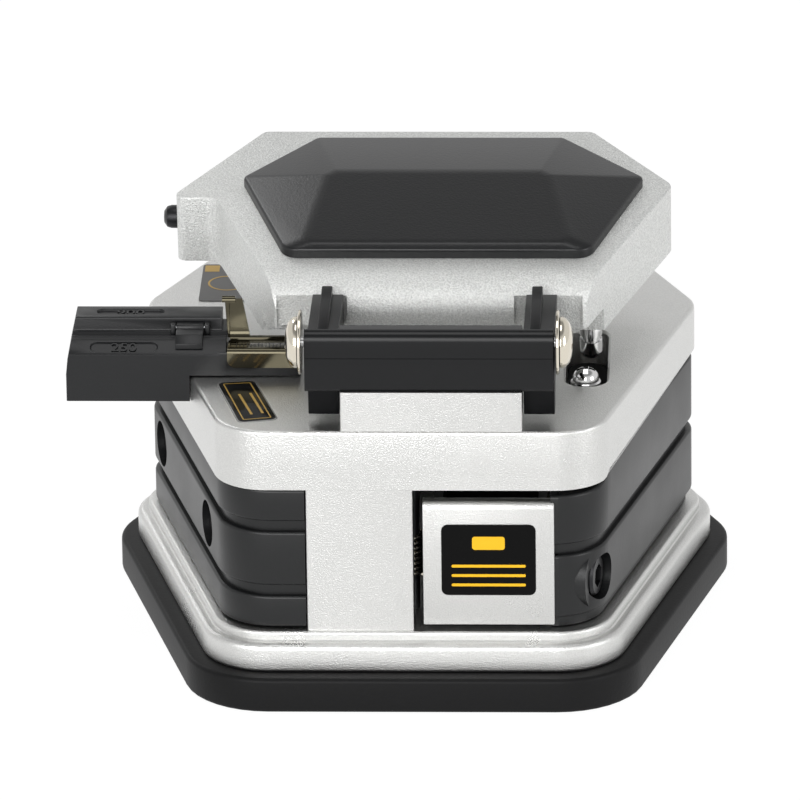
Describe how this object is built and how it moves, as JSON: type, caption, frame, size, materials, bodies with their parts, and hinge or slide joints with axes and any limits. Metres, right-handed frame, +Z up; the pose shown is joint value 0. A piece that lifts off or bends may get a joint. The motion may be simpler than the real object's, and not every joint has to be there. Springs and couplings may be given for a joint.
{
  "type": "fibre cleaver",
  "caption": "Hexagonal bench-top optical fibre cleaver with hinged press lid, sliding scoring wheel, fibre holder, clamp pads and a scrap drawer.",
  "frame": {"origin": "middle of the foot pad's flat underside, where the tool stands", "axes": "+Z up; +X along the fibre, from the holder's end to the other; -Y towards the hinge and the drawer"},
  "size_m": [0.0756, 0.0652, 0.0507],
  "materials": {
    "black_rubber": "matte, finely pitted",
    "silver_anodised": "sand-blasted, clear anodised",
    "screw_steel": "plain",
    "post_brass": "turned",
    "label_black": "printed foil",
    "magnet_nickel": "nickel plated",
    "shell_plastic": "fine moulded grain",
    "black_steel": "black oxide",
    "rail_steel": "ground",
    "chrome_steel": "polished",
    "black_anodised": "black anodised, satin",
    "washer_steel": "turned",
    "clamp_rubber": "smooth",
    "lid_anodised": "milled and clear anodised",
    "pad_plastic": "coarse moulded grain",
    "blade_carbide": "ground carbide",
    "nickel_sheet": "nickel plated sheet"
  },
  "bodies": {
    "base": {"foot_pad": "black_rubber", "base_plate": "silver_anodised", "base_screws": "screw_steel", "deck_posts": "post_brass", "deck": "silver_anodised", "deck_labels": "label_black", "deck_magnet": "magnet_nickel", "left_shell": "shell_plastic", "right_shell": "shell_plastic", "side_screws": "black_steel", "slide_rail": "rail_steel", "stop_insert": "shell_plastic", "stop_screw": "chrome_steel", "hinge_pedestal": "silver_anodised", "hinge_cover": "black_anodised", "hinge_pin": "rail_steel", "pin_washers": "washer_steel", "pin_screws": "washer_steel", "left_clamp_block": "black_anodised", "left_lower_rubber": "clamp_rubber", "right_clamp_block": "black_anodised", "right_lower_rubber": "clamp_rubber", "detent_pin": "rail_steel", "detent_spring": "washer_steel"},
    "lid": {"lid_plate": "lid_anodised", "lid_pad": "pad_plastic", "left_lid_arm": "black_anodised", "right_lid_arm": "black_anodised", "lock_stud": "chrome_steel", "lid_magnet": "magnet_nickel", "ear_screw": "screw_steel", "left_upper_rubber": "clamp_rubber", "right_upper_rubber": "clamp_rubber", "anvil": "black_steel"},
    "carriage": {"blade_carriage": "black_anodised", "blade_axle": "rail_steel", "pusher_knob": "shell_plastic"},
    "wheel": {"blade_wheel": "blade_carbide", "blade_hub": "silver_anodised"},
    "drawer": {"drawer_front": "silver_anodised", "drawer_bin": "shell_plastic", "drawer_label": "label_black"},
    "holder": {"fibre_holder": "black_anodised", "holder_channel": "nickel_sheet", "keeper_pin": "rail_steel"},
    "keeper": {"keeper_clip": "black_anodised"}
  },
  "joints": [
    {"name": "lid_hinge", "type": "hinge", "parent": "base", "child": "lid", "pos_m": [0, -0.02635, 0.0431], "axis": [1, 0, 0], "range_deg": [-8.5, 50], "stiffness_Nm_per_rad": 0.05, "springref_deg": 15.99},
    {"name": "carriage_slide", "type": "slide", "parent": "base", "child": "carriage", "axis": [0, -1, 0], "range_m": [0, 0.024]},
    {"name": "wheel_turn", "type": "hinge", "parent": "carriage", "child": "wheel", "pos_m": [-0.0055, 0.011, 0.0272], "axis": [1, 0, 0], "continuous": true},
    {"name": "drawer_slide", "type": "slide", "parent": "base", "child": "drawer", "axis": [0, -1, 0], "range_m": [0, 0.018]},
    {"name": "holder_slide", "type": "slide", "parent": "base", "child": "holder", "axis": [-1, 0, 0], "range_m": [0, 0.012]},
    {"name": "keeper_hinge", "type": "hinge", "parent": "holder", "child": "keeper", "pos_m": [-0.02575, -0.00745, 0.0374], "axis": [-1, 0, 0], "range_deg": [0, 100]}
  ]
}
